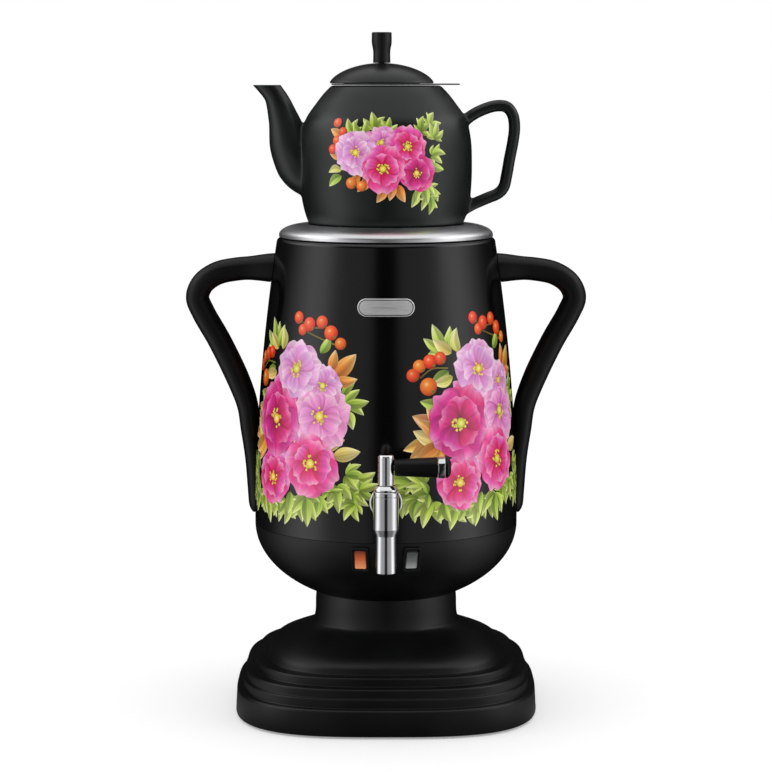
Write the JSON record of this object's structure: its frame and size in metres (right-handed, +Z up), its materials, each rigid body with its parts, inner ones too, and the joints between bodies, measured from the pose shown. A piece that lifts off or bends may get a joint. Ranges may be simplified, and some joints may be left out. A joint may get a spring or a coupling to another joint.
{
  "type": "samovar",
  "caption": "Black electric samovar with a floral print, on a stepped square base, with a front tap, rocker switches, side handles, and a teapot with infuser and lid on its lid ring.",
  "frame": {"origin": "on the samovar's upright axis, in the plane that its feet stand on", "axes": "+Z up; -Y to the front, where the tap is; -X towards the teapot's spout and +X towards its handle and the tap's lever at rest"},
  "size_m": [0.2846, 0.2457, 0.4805],
  "materials": {
    "black_moulding": "satin moulded black",
    "black_enamel": "gloss black enamel with a flower print",
    "black_glaze": "satin black glaze on stoneware, opaque, with a flower print",
    "chrome": "polished",
    "steel": "satin",
    "zinc_steel": "zinc plated",
    "cast_aluminium": "as cast",
    "black_rubber": "matt",
    "pale_silicone": "matt",
    "white_ceramic": "matt opaque steatite",
    "amber_lens": "lit amber lens",
    "smoke_lens": "smoked clear lens"
  },
  "bodies": {
    "samovar": {"pedestal_shell": "black_moulding", "bottom_plate": "black_moulding", "lower_bowl": "black_moulding", "rocker_bezel_left": "black_moulding", "rocker_bezel_right": "black_moulding", "handle_left": "black_moulding", "handle_right": "black_moulding", "body_shell": "black_enamel", "tap_body": "chrome", "tap_bonnet": "chrome", "tank_floor": "steel", "name_plate": "steel", "base_screw_1": "zinc_steel", "base_screw_2": "zinc_steel", "base_screw_3": "zinc_steel", "base_screw_4": "zinc_steel", "neck_screw_1": "zinc_steel", "neck_screw_2": "zinc_steel", "neck_screw_3": "zinc_steel", "tank_stud_1": "zinc_steel", "tank_stud_2": "zinc_steel", "tank_stud_3": "zinc_steel", "handle_screw_left_1": "zinc_steel", "handle_screw_left_2": "zinc_steel", "handle_screw_right_1": "zinc_steel", "handle_screw_right_2": "zinc_steel", "tap_nut": "zinc_steel", "heater_ring": "zinc_steel", "heat_spreader": "cast_aluminium", "foot_1": "black_rubber", "foot_2": "black_rubber", "foot_3": "black_rubber", "foot_4": "black_rubber", "cord_gland": "black_rubber", "tap_gasket": "black_rubber", "handle_washer_left_1": "pale_silicone", "handle_washer_left_2": "pale_silicone", "handle_washer_right_1": "pale_silicone", "handle_washer_right_2": "pale_silicone", "tap_washer": "pale_silicone", "wire_loom": "pale_silicone", "terminal_block": "white_ceramic", "boil_thermostat": "white_ceramic", "dry_boil_cutout": "white_ceramic"},
    "tap_valve": {"tap_plug": "zinc_steel", "tap_hub": "chrome", "tap_lever": "black_moulding", "tap_lever_band": "chrome", "tap_lever_cap": "black_moulding", "tap_lever_rod": "zinc_steel"},
    "rocker_left": {"rocker_left": "amber_lens"},
    "rocker_right": {"rocker_right": "smoke_lens"},
    "lid_ring": {"lid_ring": "chrome", "lid_ring_seal": "pale_silicone"},
    "teapot": {"teapot": "black_glaze"},
    "infuser": {"infuser_rim": "steel", "infuser_basket": "steel"},
    "pot_lid": {"pot_lid": "black_glaze", "lid_knob": "black_moulding", "knob_screw": "zinc_steel"}
  },
  "joints": [
    {"name": "tap_lever", "type": "hinge", "parent": "samovar", "child": "tap_valve", "pos_m": [0, -0.12739, 0.1625], "axis": [0, 0, 1], "range_deg": [-90, 0]},
    {"name": "rocker_left", "type": "hinge", "parent": "samovar", "child": "rocker_left", "pos_m": [-0.01726, -0.08905, 0.1221], "axis": [0.9817, -0.1903, 0], "range_deg": [0, 14]},
    {"name": "rocker_right", "type": "hinge", "parent": "samovar", "child": "rocker_right", "pos_m": [0.01726, -0.08905, 0.1221], "axis": [0.9817, 0.1903, 0], "range_deg": [-14, 0]},
    {"name": "lid_ring_lift", "type": "slide", "parent": "samovar", "child": "lid_ring", "axis": [0, 0, 1], "range_m": [0, 0.08]},
    {"name": "teapot_lift", "type": "slide", "parent": "lid_ring", "child": "teapot", "axis": [0, 0, 1], "range_m": [0, 0.06]},
    {"name": "infuser_lift", "type": "slide", "parent": "teapot", "child": "infuser", "axis": [0, 0, 1], "range_m": [0, 0.1]},
    {"name": "pot_lid_lift", "type": "slide", "parent": "infuser", "child": "pot_lid", "axis": [0, 0, 1], "range_m": [0, 0.05]}
  ]
}
